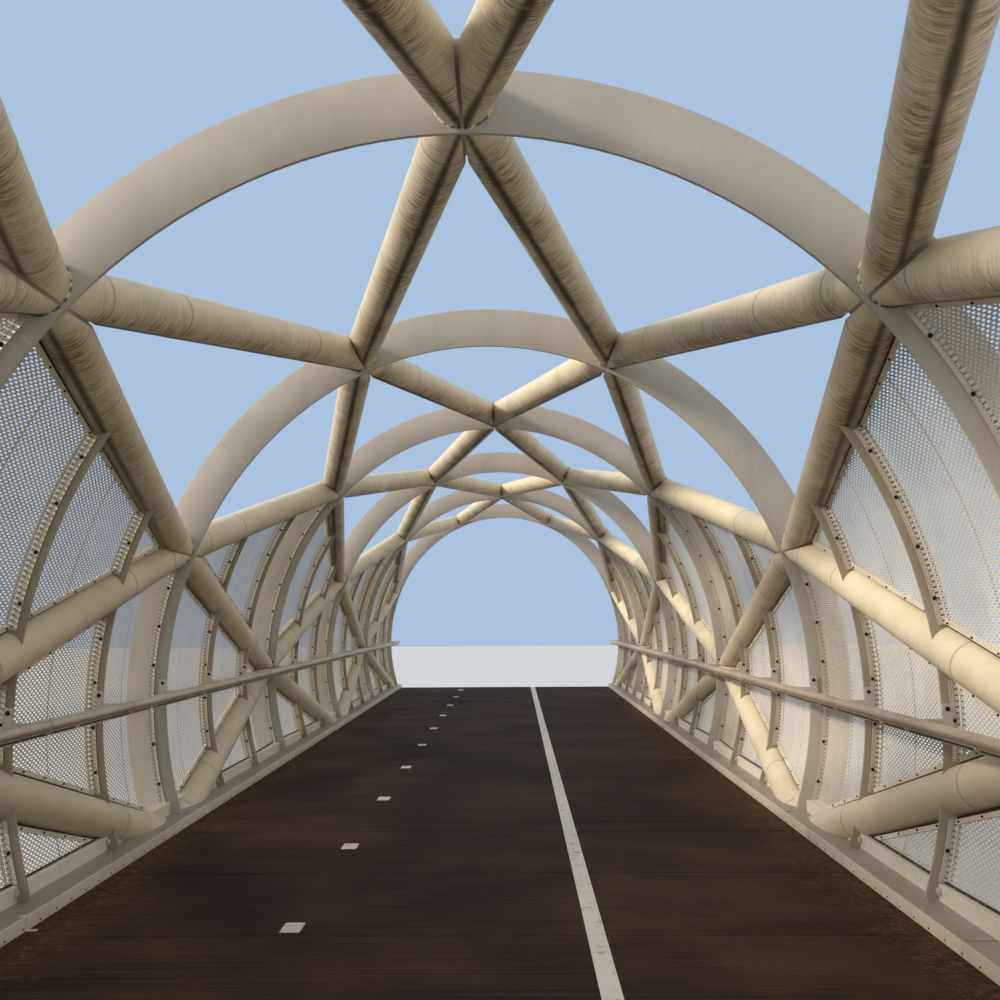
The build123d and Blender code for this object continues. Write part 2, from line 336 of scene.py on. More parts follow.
# Polyurethane paint on steel tube: satin cream, filmed with brown grime in fine rings round the bar
def makeBarPaint():
    values = {"paint": "#CBBF9F", "pale": "#DACFB5", "film": "#684D1D", "grimeAndShade": "#20170A",
              "weld": "#83765A"}
    material, tree = newMaterial("bar_paint_weathered")
    # bar: u round the bar from its underside, v along it; barEnd: u from the nearer node, all in metres
    around = addNode(tree, "UVMap", uv_map="bar").outputs["UV"]
    ends = addNode(tree, "UVMap", uv_map="barEnd").outputs["UV"]
    spot = objectPlace(tree)
    height = addNode(tree, "SeparateXYZ", {"Vector": spot}).outputs
    fromNode = addNode(tree, "SeparateXYZ", {"Vector": ends}).outputs["X"]
    fromUnder = maths(tree, "ABSOLUTE", addNode(tree, "SeparateXYZ", {"Vector": around}).outputs["X"])
    cloud = noise(tree, spot, 2.2, 6.0, 0.62)
    tone = ramp(tree, cloud, (0.32, values["paint"]), (0.68, values["pale"]))
    # rings of film about 11 mm apart, on the lower half of a bar and not on its clean ends
    rings = noise(tree, stretched(tree, around, (7.0, 90.0, 1.0)), 1.0, 4.0, 0.75, 0.4)
    patch = noise(tree, spot, 2.4, 5.0, 0.6)
    # the film and the dark line grow stronger on the bars higher up
    high = mapRange(tree, height["Z"], 4.0, 5.6, 0.22, 0.95, "SMOOTHSTEP")
    film = maths(tree, "MULTIPLY", mapRange(tree, rings, 0.41, 0.57),
                 mapRange(tree, fromUnder, 0.30, 0.05, kind="SMOOTHSTEP"))
    for share in (mapRange(tree, patch, 0.22, 0.60),
                  mapRange(tree, fromNode, 0.16, 0.30, kind="SMOOTHSTEP"), high):
        film = maths(tree, "MULTIPLY", film, share)
    dirty = mixColour(tree, film, tone, values["film"])
    # one dark line along the underside with a frayed edge: grime where water hangs, and painted shade on
    # the bar's underside
    edge = maths(tree, "MULTIPLY_ADD", rings, 0.045, fromUnder)
    edge = maths(tree, "MULTIPLY_ADD", noise(tree, around, 1.6, 3.0), -0.05, edge)
    line = maths(tree, "MULTIPLY", mapRange(tree, edge, 0.036, 0.0, kind="SMOOTHSTEP"),
                 mapRange(tree, high, 0.22, 0.95, 0.35, 0.9))
    dirty = mixColour(tree, line, dirty, values["grimeAndShade"])
    # the welds across the bar have caught dirt
    for distance in bar["beads"]:
        gap = maths(tree, "ABSOLUTE", maths(tree, "SUBTRACT", fromNode, distance))
        dirty = mixColour(tree, mapRange(tree, gap, 0.016, 0.004, 0.0, 0.5, "SMOOTHSTEP"), dirty,
                          values["weld"])
    # specks of rust and dirt in the welds at the ring plates
    half = bridge["bayLength"] / 2
    fromRing = maths(tree, "ABSOLUTE", maths(tree, "WRAP", height["Y"], half, -half))
    specks = ramp(tree, noise(tree, spot, 42.0, 3.0), (0.46, 0.0), (0.58, 0.85))
    specks = maths(tree, "MULTIPLY", mapRange(tree, fromRing, 0.036, 0.020), specks)
    dirty = mixColour(tree, specks, dirty, values["grimeAndShade"])
    dots = addNode(tree, "TexVoronoi", {"Vector": spot, "Scale": 20.0}, feature="F1").outputs["Distance"]
    dirty = mixColour(tree, ramp(tree, dots, (0.05, 0.5), (0.12, 0.0)), dirty, values["weld"])
    peel = noise(tree, spot, 120.0, 2.0)
    rough = mapRange(tree, patch, 0.0, 1.0, 0.5, 0.62)
    return finishMaterial(material, surface(tree, dirty, rough, peel, 0.12, 0.002))


# Polyurethane paint sprayed on cut plate: satin, smooth, with faint clouding and run-down streaks
def makePlatePaint(name, paint, pale, dirt, streak=0.35):
    material, tree = newMaterial(name)
    spot = objectPlace(tree)
    cloud = noise(tree, spot, 1.8, 7.0, 0.6)
    tone = ramp(tree, cloud, (0.34, paint), (0.66, pale))
    runs = noise(tree, stretched(tree, spot, (16.0, 16.0, 1.3)), 1.0, 5.0)
    dirty = mixColour(tree, ramp(tree, runs, (0.52, 0.0), (0.78, streak)), tone, dirt)
    peel = noise(tree, spot, 150.0, 2.0)
    rough = mapRange(tree, cloud, 0.0, 1.0, 0.42, 0.54)
    return finishMaterial(material, surface(tree, dirty, rough, peel, 0.08, 0.002))


# Slots of the punched sheets, which the sheets' folds follow too
slots = {
    "pitch": 0.0314,  # round the hoop
    "row": 0.0270,  # along the bridge
    "radius": 0.0053,
    "straight": 0.0215,
    "rimWidth": 0.0018,
}


# Punched steel sheet, powder coated: long round-ended slots in staggered rows
def makePunchedSheet():
    values = {"paint": "#CCC4B4", "pale": "#D9D2C4", "dirt": "#94896F"}
    material, tree = newMaterial("punched_sheet_coated")
    uv = addNode(tree, "UVMap", uv_map="sheet").outputs["UV"]  # u round the hoop, v along the bridge
    half = (slots["pitch"] / 2, slots["row"], 0.0)
    distances = []
    for shift in ((0.0, 0.0, 0.0), half):
        moved = vectorMaths(tree, "ADD", uv, shift)
        cell = vectorMaths(tree, "WRAP", moved, half, [-h for h in half])
        past = vectorMaths(tree, "SUBTRACT", vectorMaths(tree, "ABSOLUTE", cell),
                           (0.0, slots["straight"] / 2, 0.0))
        past = vectorMaths(tree, "MAXIMUM", past, (0.0, 0.0, 0.0))
        distances.append(addNode(tree, "VectorMath", {0: past}, operation="LENGTH").outputs["Value"])
    nearest = maths(tree, "MINIMUM", *distances)
    hole = maths(tree, "LESS_THAN", nearest, slots["radius"])
    spot = objectPlace(tree)
    tone = ramp(tree, noise(tree, spot, 2.5, 6.0), (0.35, values["paint"]), (0.65, values["pale"]))
    runs = noise(tree, stretched(tree, spot, (20.0, 20.0, 1.6)), 1.0, 5.0)
    dirty = mixColour(tree, ramp(tree, runs, (0.54, 0.0), (0.84, 0.25)), tone, values["dirt"])
    rim = mapRange(tree, nearest, slots["radius"], slots["radius"] + slots["rimWidth"])
    coat = surface(tree, dirty, 0.45, rim, 0.4, 0.001)
    clear = addNode(tree, "BsdfTransparent").outputs["BSDF"]
    mixed = addNode(tree, "MixShader", {0: hole, 1: coat, 2: clear})
    return finishMaterial(material, mixed.outputs["Shader"])


# Anti-slip resin with grit, drawn across the deck with a toothed blade: dull dark brown, fine ridges
def makeDeckCoating():
    values = {"dark": "#2A1A10", "brown": "#46301E", "dust": "#66492F", "litter": "#6A5128",
              "furrowShade": "#170E08", "ridge": 0.030, "litterFrom": 1.75, "litterTo": 2.38}
    material, tree = newMaterial("deck_resin_grit")
    spot = objectPlace(tree)
    lines = noise(tree, stretched(tree, spot, (0.5, 22.0, 1.0)), 2.0, 4.0)
    tone = ramp(tree, lines, (0.35, values["dark"]), (0.7, values["brown"]))
    dust = ramp(tree, noise(tree, spot, 1.1, 8.0, 0.65), (0.44, 0.0), (0.8, 0.6))
    dusty = mixColour(tree, dust, tone, values["dust"])
    waves = {"Vector": spot, "Scale": 0.314 / values["ridge"], "Distortion": 1.2, "Detail": 2.0,
             "Detail Scale": 2.0}
    ridge = addNode(tree, "TexWave", waves, bands_direction="Y").outputs["Fac"]
    # leaf dirt gathered along the kerbs
    apart = maths(tree, "ABSOLUTE", addNode(tree, "SeparateXYZ", {"Vector": spot}).outputs["X"])
    edge = mapRange(tree, apart, values["litterFrom"], values["litterTo"])
    litter = maths(tree, "MULTIPLY_ADD", edge, 0.22, noise(tree, spot, 26.0, 8.0, 0.75))
    dusty = mixColour(tree, ramp(tree, litter, (0.66, 0.0), (0.8, 0.75)), dusty, values["litter"])
    # the furrows between the ridges are painted darker: painted shade in the grooves
    ridged = mixColour(tree, mapRange(tree, ridge, 0.0, 1.0, 0.45, 0.0), dusty, values["furrowShade"])
    height = maths(tree, "MULTIPLY_ADD", ridge, 0.8, noise(tree, spot, 420.0, 2.0))
    dull = {"Specular IOR Level": 0.15}
    return finishMaterial(material, surface(tree, ridged, 0.85, height, 0.5, 0.003, dull))


# Metal, drawn or pressed: brushed along the bridge
def makeMetal(name, colour, dull, roughness):
    material, tree = newMaterial(name)
    spot = objectPlace(tree)
    scratch = noise(tree, stretched(tree, spot, (260.0, 6.0, 260.0)), 1.0, 3.0)
    tone = ramp(tree, noise(tree, spot, 3.0, 6.0), (0.35, colour), (0.7, dull))
    rough = mapRange(tree, scratch, 0.0, 1.0, roughness - 0.08, roughness + 0.1)
    return finishMaterial(material, surface(tree, tone, rough, scratch, 0.1, 0.0006, {"Metallic": 1.0}))


# Road marking paint, rolled: chalky white with worn spots
def makeLinePaint():
    material, tree = newMaterial("line_paint_worn")
    spot = objectPlace(tree)
    wear = noise(tree, spot, 14.0, 9.0, 0.7)
    tone = ramp(tree, wear, (0.30, "#6E675D"), (0.44, "#CFCAC0"))
    grit = noise(tree, spot, 420.0, 2.0)
    return finishMaterial(material, surface(tree, tone, 0.7, grit, 0.3, 0.002))


barPaint = makeBarPaint()
ringPaint = makePlatePaint("ring_plate_paint", "#A59D90", "#B2AB9F", "#857A66", streak=0.12)
ribPaint = makePlatePaint("rib_paint", "#998D79", "#A89D8A", "#6F6552", streak=0.15)
sheetPaint = makePlatePaint("plain_sheet_paint", "#CCC2AE", "#D9D1C0", "#94896F", streak=0.1)
kerbPaint = makePlatePaint("kerb_paint_worn", "#C6BBA6", "#D1C7B4", "#7D725E", streak=0.3)
ledgePaint = makePlatePaint("ledge_paint_walked", "#958B7E", "#A39A8D", "#6F6552", streak=0.15)
sillPaint = makePlatePaint("sill_paint", "#D6CDBB", "#E0D9CA", "#9A907A", streak=0.15)
bracketPaint = makePlatePaint("bracket_galvanised_dulled", "#B7AFA2", "#C3BCB0", "#857A66", streak=0.1)
beamPaint = makePlatePaint("beam_paint", "#9D988C", "#ABA69B", "#6A604E")
bearingPaint = makePlatePaint("bearing_paint", "#5B5C5C", "#6D6E6D", "#443E34")
# a dark rubber colour for joints and clamp strips, and painted shade behind the gaps along the bars and in
# the slots of the rail channels
rubberAndShade = makePlatePaint("rubber_and_painted_shade", "#2B2925", "#35322D", "#1F1D1A", streak=0.2)
punchedSheet = makePunchedSheet()
deckCoating = makeDeckCoating()
linePaint = makeLinePaint()
railSteel = makeMetal("rail_stainless_dulled", "#EBD8BE", "#D6C0A2", 0.6)
railChannel = makeMetal("channel_aluminium", "#DCCBB2", "#C4B092", 0.55)
boltSteel = makeMetal("bolt_zinc_dulled", "#4A4036", "#352C23", 0.55)
print("materials ready")


# Ring plates
ringShape = {"sides": 128, "edgeRound": 0.003, "spliceAngle": 49.5, "weldWide": 0.004, "weldHigh": 0.0013,
             "weldShort": 0.002, "weldSides": 12}


def ringPlate(number, y):
    outer = bridge["halfWidth"] + bridge["plateDepth"]
    outerTall = bridge["halfHeight"] + bridge["plateDepth"]
    bm = bmesh.new()
    bmesh.ops.create_circle(bm, segments=ringShape["sides"], radius=1.0)
    turnBy(bm, Matrix.Rotation(pi / 2, 3, "X"))
    scaleBy(bm, (outer, 1.0, outerTall))
    rim = bmesh.ops.extrude_edge_only(bm, edges=bm.edges[:])
    bmesh.ops.scale(bm, verts=madeVerts(rim), vec=(
        bridge["halfWidth"] / outer, 1.0, bridge["halfHeight"] / outerTall))
    thicken(bm, (0, bridge["plateThick"], 0))
    moveBy(bm, (0, y - bridge["plateThick"] / 2, centreHeight))
    roundEdges(bm, sharpEdges(bm), ringShape["edgeRound"], 2)
    # a weld where two lengths of plate meet
    splice = ringShape["spliceAngle"]
    way = ovalPoint(bridge["plateDepth"], splice) - ovalPoint(0, splice)
    middle = ovalPoint(bridge["plateDepth"] / 2, splice)
    for side in (-1, 1):
        for face in (-1, 1):
            weld = bmesh.new()
            depth = way.length - 2 * (ringShape["edgeRound"] + ringShape["weldShort"])
            bmesh.ops.create_cone(weld, cap_ends=True, segments=ringShape["weldSides"], radius1=1.0,
                                  radius2=1.0, depth=depth)
            scaleBy(weld, (ringShape["weldWide"], ringShape["weldHigh"], 1))
            turnBy(weld, Matrix.Rotation(atan2(side * way.x, way.z), 3, "Y"))
            moveBy(weld, (side * middle.x, y + face * bridge["plateThick"] / 2, middle.z))
            mergeInto(bm, weld)
    finishPiece(f"ring_{number}", bm, [ringPaint], "ring_paint", f"ring_plate_{number}")


for index, y in enumerate(ringY):
    ringPlate(index + 1, y)
print("ring plates made")


# Bars between the rings, eight nodes to a ring, half a step on at every other ring
halfStep = 22.5
ringAngles = [[(0.0 if ring % 2 else halfStep) + 2 * halfStep * i for i in range(8)]
              for ring in range(bridge["bays"] + 1)]


def outwardAt(angle):
    turn = radians(angle)
    return Vector((sin(turn) / (bridge["halfWidth"] + nodeOffset), 0,
                   cos(turn) / (bridge["halfHeight"] + nodeOffset))).normalized()


def barStations(length):
    plain, half = bridge["barRadius"], bar["beadWidth"] / 2
    bead = [(-half - bar["beadRun"], 0.0), (-half, 0.0), (-half / 2, 0.8), (0.0, 1.0), (half / 2, 0.8),
            (half, 0.0), (half + bar["beadRun"], 0.0)]
    stations = [(-2 * plain, plain)]
    for place in [*bar["beads"], *[length - p for p in reversed(bar["beads"])]]:
        if place > length / 2 > stations[-1][0]:
            stations.append((length / 2, plain))
        stations += [(place + along, plain + swell * bar["beadHeight"]) for along, swell in bead]
    return stations + [(length + 2 * plain, plain)]


def makeBar(start, finish, nearY, farY, startFin, finishFin):
    way = (finish - start).normalized()
    length = (finish - start).length
    down = (Vector((0, 0, -1)) + way * way.z).normalized()
    across = way.cross(down)
    bm = tube(barStations(length), bar["sides"])
    turnBy(bm, Matrix((down, across, way)).transposed())
    moveBy(bm, start)
    for planeY, normal in ((nearY, -1), (farY, 1)):
        cutAway(bm, (0, planeY - normal * bar["weldLeg"], 0), (0, normal, 0))
        # the weld against the ring plate, flared out from the bar's end
        cut = [e for e in bm.edges
               if e.is_boundary and all(abs(v.co.y - planeY) < 2 * bar["weldLeg"] for v in e.verts)]
        for vert in madeVerts(bmesh.ops.extrude_edge_only(bm, edges=cut)):
            outward = vert.co - start - way * (vert.co - start).dot(way)
            vert.co += (outward.normalized() + way * normal) * bar["weldLeg"]
            vert.co.y = planeY
    fillEnds(bm)
    uv = bm.loops.layers.uv.new("bar")
    endUv = bm.loops.layers.uv.new("barEnd")
    for face in bm.faces:
        middle = face.calc_center_median() - start
        mid = atan2(middle.dot(across), middle.dot(down))
        for corner in face.loops:
            spot = corner.vert.co - start
            angle = atan2(spot.dot(across), spot.dot(down))
            if angle - mid > pi:
                angle -= 2 * pi
            if mid - angle > pi:
                angle += 2 * pi
            corner[uv].uv = (angle * bridge["barRadius"], spot.dot(way))
            corner[endUv].uv = (min(spot.dot(way), length - spot.dot(way)), 0)
    for point, normal in (startFin, finishFin):
        cutAway(bm, point, normal, True)
    faceOutward(bm)
    return bm


def finCut(ring, angle, side):  # point and normal of the cut beside a knife plate
    out = outwardAt(angle)
    along = Vector((out.z, 0, -out.x)) * side
    return ovalPoint(nodeOffset, angle, ringY[ring]) + along * bar["knifeThick"] / 2, -along


for bay in range(bridge["bays"]):
    bars = bmesh.new()
    bars.loops.layers.uv.new("bar")
    bars.loops.layers.uv.new("barEnd")
    nearY = ringY[bay] + bridge["plateThick"] / 2
    farY = ringY[bay + 1] - bridge["plateThick"] / 2
    for angle in ringAngles[bay]:
        for side in (-1, 1):
            endAngle = angle + side * halfStep
            start = ovalPoint(nodeOffset, angle, ringY[bay])
            finish = ovalPoint(nodeOffset, endAngle, ringY[bay + 1])
            mergeInto(bars, makeBar(start, finish, nearY, farY, finCut(bay, angle, side),
                                    finCut(bay + 1, endAngle, -side)))
    finishPiece(f"bars_{bay + 1}", bars, [barPaint], "tube_paint", f"tubes_bay_{bay + 1}")
print("bars made")


# Knife plates in the crotches of the bars
knife = {"proud": 0.003, "edgeRound": 0.001, "sides": 40}


def knifePlate(ring, angle, towards):
    start = ovalPoint(nodeOffset, angle, ringY[ring])
    way = (ovalPoint(nodeOffset, angle + halfStep, ringY[ring] + bridge["bayLength"]) - start).normalized()
    reach = bridge["barRadius"] / sqrt(1 - way.y * way.y) + knife["proud"]
    bm = bmesh.new()
    bmesh.ops.create_circle(bm, segments=knife["sides"], radius=1.0, cap_ends=True)
    scaleBy(bm, (reach, bridge["barRadius"] + knife["proud"], 1))
    cutAway(bm, (bridge["plateThick"] / 2, 0, 0), (-1, 0, 0))
    moveBy(bm, (0, 0, -bar["knifeThick"] / 2))
    thicken(bm, (0, 0, bar["knifeThick"]))
    roundEdges(bm, sharpEdges(bm), knife["edgeRound"])
    out, along = outwardAt(angle), Vector((0, towards, 0))
    turnBy(bm, Matrix((along, out, along.cross(out))).transposed())
    moveBy(bm, start)
    return bm


for bay in range(bridge["bays"]):
    knives = bmesh.new()
    for ring, towards in ((bay, 1), (bay + 1, -1)):
        for angle in ringAngles[ring]:
            mergeInto(knives, knifePlate(ring, angle, towards))
    finishPiece(f"knives_{bay + 1}", knives, [ribPaint], "tube_paint", f"knife_plates_bay_{bay + 1}")
print("knife plates made")


# Bolt heads, as low cones
bolt = {
    "sides": 8,
    "taper": 0.82,
    "step": 0.33,  # along the ribs and ring plates
    "radius": 0.0125,
    "height": 0.008,
    "depth": 0.74,  # of the folded edge's depth
    "lipStep": 0.26,  # along the bars
    "lipRadius": 0.0065,
    "lipEnd": 0.03,
    "footEnd": 0.02,
    "slack": 0.002,  # a screw that just touches the next bar's strip is kept
}


def addBolt(bm, place, axis, radius, height):
    head = bmesh.new()
    bmesh.ops.create_cone(head, cap_ends=True, segments=bolt["sides"], radius1=radius,
                          radius2=radius * bolt["taper"], depth=height)
    moveBy(head, (0, 0, height / 2))
    turnBy(head, Vector((0, 0, 1)).rotation_difference(Vector(axis)).to_matrix())
    moveBy(head, place)
    mergeInto(bm, head)


# Perforated sheets, folded inwards along the ribs and ring plates
sheet = {
    "ringOffset": 0.155,  # face of the sheets outside the clear oval, at the rings
    "thick": 0.002,
    "topAngle": 44.0,
    "barGap": 0.009,  # between a sheet's edge and a bar
    "lipWidth": 0.028,
    "lipHeight": 0.010,
    "returnDepth": 0.048,  # folded edge against a rib or ring plate
    "foldLine": 0.030,  # the slots run on over the fold
    "slotReach": 0.012,
    "hemDeep": 0.007,
    "hemOut": 0.006,
    "edgeGap": 0.003,
    "leastHeight": 0.05,
    "sillLap": 0.012,  # the sheets' lower edge stands behind the top of the sills
    "seamWidth": 0.013,
    "seamLength": 3.6,
    "seamOut": 0.006,
    "seamThick": 0.002,
    # the next four place dark strips of painted shade behind the gaps along the bars
    "shadeInto": 0.030,  # under the bar
    "shadePast": 0.006,  # over the sheet's edge
    "shadeLow": 0.004,
    "shadeHigh": 0.016,
}
barLines = ((45.0, 67.5), (90.0, 67.5), (90.0, 112.5))  # angles at the odd and the even rings
barCover = bridge["barRadius"] + sheet["barGap"]


def barLine(bay, line):  # a bar's middle on the flat drawing, from the near ring to the far one
    odd, even = barLines[line]
    nearAngle, farAngle = (odd, even) if bay % 2 else (even, odd)
    return Vector((ringY[bay], hoopAt(nearAngle), 0)), Vector((ringY[bay + 1], hoopAt(farAngle), 0))


def besideBar(bay, line, distance):  # point and normal of a cut that runs beside a bar; + is further down
    near, far = barLine(bay, line)
    way = (far - near).normalized()
    down = Vector((-way.y, way.x, 0))
    return near + down * distance, down


def sheetOffset(y):
    return sheet["ringOffset"] - sagAt(y)


footAngle = angleAtHeight(sheet["ringOffset"] - bridge["sag"] / 2, sillTop - sheet["sillLap"])
topHoop, footHoop = hoopAt(sheet["topAngle"]), hoopAt(footAngle)


def panelLimits(bay, third, gap):
    limits = []
    for place, sign in ((third, 1), (third + 1, -1)):
        half = (bridge["plateThick"] if place in (0, thirds) else bridge["ribThick"]) / 2
        limits.append(ringY[bay] + place * ribStep + sign * (half + gap))
    return limits


def cutToZone(bm, bay, zone):
    point, down = besideBar(bay, zone, barCover)
    cutAway(bm, point, -down)
    if zone + 1 < len(barLines):
        point, down = besideBar(bay, zone + 1, -barCover)
        cutAway(bm, point, down)


def foldEdge(bm, edges, edgeY, inward):
    # a return towards the inside, with the slots running over the fold and a hem along the free edge
    ending = sheet["returnDepth"]
    for depth, shift, plain in ((sheet["foldLine"], 0, 0), (ending, 0, 1),
                                (ending + sheet["hemDeep"], sheet["hemOut"], 1)):
        fold = bmesh.ops.extrude_edge_only(bm, edges=edges)
        edges = madeEdges(fold)
        for vert in madeVerts(fold):
            vert.co.z = -depth
            vert.co.x = edgeY + inward * shift
        for face in [f for f in fold["geom"] if isinstance(f, bmesh.types.BMFace)]:
            face.material_index = plain


def boltEdge(bolts, edgeY, inward, first, last):
    count = round((last - first) / bolt["step"])
    depth = sheetOffset(edgeY) - sheet["returnDepth"] * bolt["depth"]
    for i in range(count):
        place = (edgeY + inward * sheet["thick"], first + (last - first) * (i + 0.5) / count, depth)
        addBolt(bolts, place, (inward, 0, 0), bolt["radius"], bolt["height"])


def makePanel(bay, zone, third, bolts):
    nearY, farY = panelLimits(bay, third, sheet["edgeGap"])
    bm = flatGrid((nearY, topHoop), (farY, footHoop), 0, 4, 30)
    cutToZone(bm, bay, zone)
    hoops = [v.co.y for v in bm.verts]
    if not bm.faces or max(hoops) - min(hoops) < sheet["leastHeight"]:
        bm.free()
        return None
    for edgeY, inward in ((nearY, 1), (farY, -1)):
        edges = [e for e in bm.edges if e.is_boundary and all(abs(v.co.x - edgeY) < 1e-4 for v in e.verts)]
        if edges:
            hoops = [v.co.y for e in edges for v in e.verts]
            foldEdge(bm, edges, edgeY, inward)
            boltEdge(bolts, edgeY, inward, min(hoops), max(hoops))
    # the slots are spread a little, so that both folds cut the middle of a slot
    reach, wide = sheet["slotReach"], farY - nearY
    fitted = round((wide + 2 * reach) / slots["row"]) * slots["row"] / (wide + 2 * reach)
    uv = bm.loops.layers.uv.new("sheet")
    for face in bm.faces:
        for corner in face.loops:
            past = corner.vert.co.z if corner.vert.co.x < (nearY + farY) / 2 else -corner.vert.co.z
            corner[uv].uv = (corner.vert.co.y, (corner.vert.co.x - nearY + past + reach) * fitted)
    bmesh.ops.recalc_face_normals(bm, faces=bm.faces)
    bmesh.ops.solidify(bm, geom=bm.faces[:], thickness=sheet["thick"])
    for vert in bm.verts:
        vert.co.z += sheetOffset(vert.co.x)
    return bm


def makeSeam(bay, zone, middle):  # half way between two ribs, where two sheets lap
    half, reach = sheet["seamWidth"] / 2, sheet["seamLength"] / 2
    centre = (topHoop + footHoop) / 2
    bm = flatGrid((middle - half, centre - reach), (middle + half, centre + reach),
                  sheetOffset(middle) + sheet["seamOut"], 1, 40)
    cutToZone(bm, bay, zone)
    cutAway(bm, (0, footHoop, 0), (0, 1, 0))
    bmesh.ops.solidify(bm, geom=bm.faces[:], thickness=sheet["seamThick"])
    for face in bm.faces:
        face.material_index = 1
    return bm


def stripBesideBar(bay, zone, line, spread, low, high, limits):
    # a long strip beside a bar; spread holds its distances from the bar's middle line, + further down
    start, finish = barLine(bay, line)
    bm = flatGrid((0, spread[0]), ((finish - start).length, spread[1]), low, 14, 1)
    thicken(bm, (0, 0, high - low))
    turnBy(bm, Matrix.Rotation(atan2(finish.y - start.y, finish.x - start.x), 3, "Z"))
    moveBy(bm, start)
    cutAway(bm, (limits[0], 0, 0), (-1, 0, 0), True)
    cutAway(bm, (limits[1], 0, 0), (1, 0, 0), True)
    for other, sign in ((zone, 1), (zone + 1, -1)):
        if other != line and other < len(barLines):
            point, down = besideBar(bay, other, sign * bridge["barRadius"])
            cutAway(bm, point, -sign * down, True)
    if zone + 1 == len(barLines):
        cutAway(bm, (0, footHoop, 0), (0, 1, 0), True)
    for vert in bm.verts:
        vert.co.z += sheetOffset(vert.co.x)
    return bm


def inZone(bay, zone, spot, cover):
    point, down = besideBar(bay, zone, cover)
    if (spot - point).dot(down) < 0:
        return False
    if zone + 1 < len(barLines):
        point, down = besideBar(bay, zone + 1, -cover)
        return (spot - point).dot(down) < 0
    return spot.y < footHoop - bolt["footEnd"]


def boltLip(bolts, bay, zone, line, distance, limits):
    start, finish = barLine(bay, line)
    point, _ = besideBar(bay, line, distance)
    steps = int((finish - start).length / bolt["lipStep"])
    for i in range(1, steps):
        spot = point + (finish - start) * i / steps
        inside = limits[0] + bolt["lipEnd"] < spot.x < limits[1] - bolt["lipEnd"]
        if inside and inZone(bay, zone, spot, barCover - bolt["slack"]):
            spot.z = sheetOffset(spot.x) - sheet["lipHeight"]
            addBolt(bolts, spot, (0, 0, -1), bolt["lipRadius"], bolt["height"])


for bay in range(bridge["bays"]):
    sheets, lips, gapShadeStrips, bolts = bmesh.new(), bmesh.new(), bmesh.new(), bmesh.new()
    sheets.loops.layers.uv.new("sheet")
    for zone, third, side in product(range(len(barLines)), range(thirds), (-1, 1)):
        limits = panelLimits(bay, third, 0.0)
        panelBolts = bmesh.new()
        panel = makePanel(bay, zone, third, panelBolts)
        if panel:
            bendInto(sheets, panel, side)
            bendInto(lips, makeSeam(bay, zone, sum(limits) / 2), side)
        for line, way in ((zone, 1), (zone + 1, -1)):
            if line < len(barLines):
                spread = sorted((way * barCover, way * (barCover + sheet["lipWidth"])))
                bendInto(lips, stripBesideBar(bay, zone, line, spread, -sheet["lipHeight"], 0.0,
                                              limits), side)
                # a dark strip behind the gap between the bar and the sheet's edge: painted shade in the gap
                spread = sorted((way * (bridge["barRadius"] - sheet["shadeInto"]),
                                 way * (barCover + sheet["shadePast"])))
                bendInto(gapShadeStrips, stripBesideBar(bay, zone, line, spread, sheet["shadeLow"],
                                               sheet["shadeHigh"], limits), side)
                boltLip(panelBolts, bay, zone, line, way * (barCover + sheet["lipWidth"] / 2), limits)
        bendInto(bolts, panelBolts, side)
    bmesh.ops.recalc_face_normals(sheets, faces=sheets.faces)
    finishPiece(f"sheets_{bay + 1}", sheets, [punchedSheet, sheetPaint], "screen_paint",
                f"screens_bay_{bay + 1}")
    finishPiece(f"sheet_lips_{bay + 1}", lips, [sheetPaint, ribPaint], "screen_paint")
    finishPiece(f"gap_shade_strips_{bay + 1}", gapShadeStrips, [rubberAndShade], "deck_coating")
    finishPiece(f"sheet_bolts_{bay + 1}", bolts, [boltSteel], "bearing_steel")
print("sheets made")


# Ribs: a web on edge that runs into the bars, and a flange behind the sheets
rib = {
    "free": 0.005,  # outside the clear oval
    "flangeWidth": 0.030,
    "flangeThick": 0.010,
    "flangeOut": 0.014,
    "intoBar": 0.060,
    "footOffset": 0.055,
    "facet": 0.06,
    "edgeRound": 0.002,
}


def makeRib(y, first, last, inner, outer, width):
    parts = max(4, ceil((last - first) / rib["facet"]))
    bm = flatGrid((y - width / 2, first), (y + width / 2, last), inner, 1, parts)
    thicken(bm, (0, 0, outer - inner))
    roundEdges(bm, edgesAlong(sharpEdges(bm), 1), rib["edgeRound"])
    return bm


for bay in range(bridge["bays"]):
    ribs = bmesh.new()
    for place in range(1, thirds):
        y = ringY[bay] + place * ribStep
        face = sheetOffset(y)
        behind = face + sheet["thick"] + rib["flangeOut"]
        lines = [barLine(bay, line) for line in range(len(barLines))]
        ends = [near.y + (far.y - near.y) * place / thirds for near, far in lines]
        ends.append(hoopAt(angleAtHeight(rib["footOffset"], ledgeTop)) + rib["intoBar"])
        for above, below in zip(ends, ends[1:]):
            first, last = above + rib["intoBar"], below - rib["intoBar"]
            flangeLast = footHoop if below == ends[-1] else last
            for side in (-1, 1):
                bendInto(ribs, makeRib(y, first, last, rib["free"], face, bridge["ribThick"]), side)
                bendInto(ribs, makeRib(y, first, flangeLast, behind, behind + rib["flangeThick"],
                                       rib["flangeWidth"]), side)
    cutAway(ribs, (0, 0, ledgeTop), (0, 0, -1), True)
    finishPiece(f"ribs_{bay + 1}", ribs, [ribPaint], "rib_paint", f"ribs_bay_{bay + 1}")
print("ribs made")


# Handrails in lengths from rib to rib
rail = {"sides": 32, "radius": 0.0355, "gap": 0.007, "gapDeep": 0.007, "gapSlope": 0.0004,
        "pastRib": 0.055, "endRound": 0.003}
railLow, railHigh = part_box("handrails")
railX = railHigh.x - (railHigh.z - railLow.z) / 2
railZ = (railHigh.z + railLow.z) / 2
ribPlaces = [ringY[0] + ribStep * i for i in range(bridge["bays"] * thirds + 1)]


